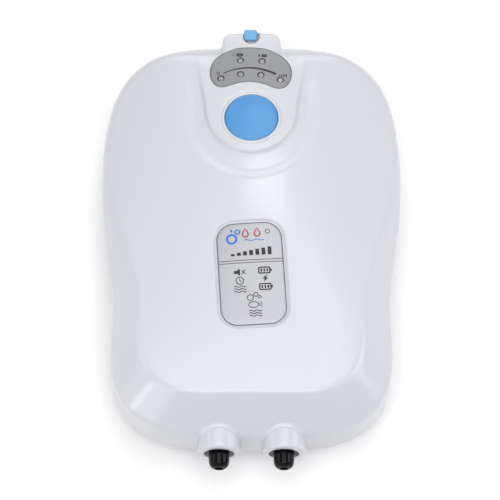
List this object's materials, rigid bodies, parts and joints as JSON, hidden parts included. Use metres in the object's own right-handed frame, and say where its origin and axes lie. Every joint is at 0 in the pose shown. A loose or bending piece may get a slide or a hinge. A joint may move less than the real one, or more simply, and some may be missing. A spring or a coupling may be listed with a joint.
{
  "type": "aquarium air pump",
  "caption": "Portable battery aquarium air pump: white soap-bar casing with a round blue button, lamp panel, label plate, charging port with cover and two hose outlets.",
  "frame": {"origin": "under the middle of the pump, on the plane its rubber feet stand on", "axes": "+Z out of the front face, +Y along the length towards the charging port, +X to the right"},
  "size_m": [0.1054, 0.1598, 0.0405],
  "materials": {
    "casing_white": "glossy white ABS",
    "seal_rubber": "black nitrile rubber",
    "overlay_film": "metallic grey printed film",
    "lamp_lens": "smoked clear epoxy",
    "label_silver": "satin silver foil",
    "button_blue": "satin sky-blue plastic",
    "steel": "zinc-plated steel",
    "black_plastic": "black moulded plastic",
    "circuit_board": "green solder mask",
    "blue_rubber": "soft blue rubber",
    "nozzle_black": "glossy black plastic",
    "silicone": "translucent silicone hose",
    "cell_wrap": "plain shrink wrap",
    "nickel": "nickel strip",
    "grey_plastic": "grey glass-filled nylon",
    "core_iron": "stacked iron sheets",
    "bobbin_plastic": "ivory moulded plastic",
    "copper": "enamelled copper wire",
    "foot_rubber": "dark grey rubber",
    "foam": "open-cell foam",
    "magnet": "plated magnet"
  },
  "bodies": {
    "casing": {"air_hose_left": "silicone", "air_hose_right": "silicone", "arm_pin_left": "steel", "arm_pin_right": "steel", "battery_cell_lower": "cell_wrap", "battery_cell_upper": "cell_wrap", "battery_contacts": "nickel", "battery_cradle": "black_plastic", "board_components": "black_plastic", "board_screws": "steel", "button_spring": "steel", "case_screws": "steel", "case_seal": "seal_rubber", "charging_socket": "black_plastic", "chassis_screws": "steel", "coil_bobbin": "bobbin_plastic", "coil_winding": "copper", "control_board": "circuit_board", "cover_anchor": "blue_rubber", "diaphragm_left": "seal_rubber", "diaphragm_right": "seal_rubber", "flap_valves_left": "seal_rubber", "flap_valves_right": "seal_rubber", "front_shell": "casing_white", "head_cover_left": "bobbin_plastic", "head_cover_right": "bobbin_plastic", "indicator_lamps": "lamp_lens", "indicator_overlay": "overlay_film", "inlet_foam": "foam", "iron_core": "core_iron", "label_plate": "label_silver", "outlet_nozzle_left": "nozzle_black", "outlet_nozzle_right": "nozzle_black", "pump_chassis": "grey_plastic", "pump_head_left": "grey_plastic", "pump_head_right": "grey_plastic", "rear_shell": "casing_white", "rubber_feet": "foot_rubber", "soft_mounts": "seal_rubber", "tact_switch": "black_plastic"},
    "power_button": {"power_button": "button_blue"},
    "charging_cover": {"charging_cover": "blue_rubber"},
    "swing_arm_left": {"swing_arm_left": "grey_plastic", "arm_magnet_left": "magnet", "arm_bush_left": "seal_rubber", "diaphragm_screw_left": "steel"},
    "swing_arm_right": {"swing_arm_right": "grey_plastic", "arm_magnet_right": "magnet", "arm_bush_right": "seal_rubber", "diaphragm_screw_right": "steel"}
  },
  "joints": [
    {"name": "button_press", "type": "slide", "parent": "casing", "child": "power_button", "axis": [0, 0, -1], "range_m": [0, 0.0012], "stiffness_N_per_m": 1500, "deforming": ["button_spring"]},
    {"name": "charging_cover_swing", "type": "hinge", "parent": "casing", "child": "charging_cover", "pos_m": [0.0065, 0.0792, 0.031], "axis": [0, 0, -1], "range_deg": [0, 100]},
    {"name": "arm_swing_right", "type": "hinge", "parent": "casing", "child": "swing_arm_right", "pos_m": [0.0075, -0.046, 0.016], "axis": [0, 0, 1], "range_deg": [-1.5, 1.5], "stiffness_Nm_per_rad": 0.5, "deforming": ["diaphragm_right"]},
    {"name": "arm_swing_left", "type": "hinge", "parent": "casing", "child": "swing_arm_left", "pos_m": [-0.0075, -0.046, 0.016], "axis": [0, 0, 1], "range_deg": [-1.5, 1.5], "stiffness_Nm_per_rad": 0.5, "deforming": ["diaphragm_left"]}
  ],
  "couplings": [
    {"joint": "arm_swing_left", "follows": "arm_swing_right", "ratio": -1}
  ]
}
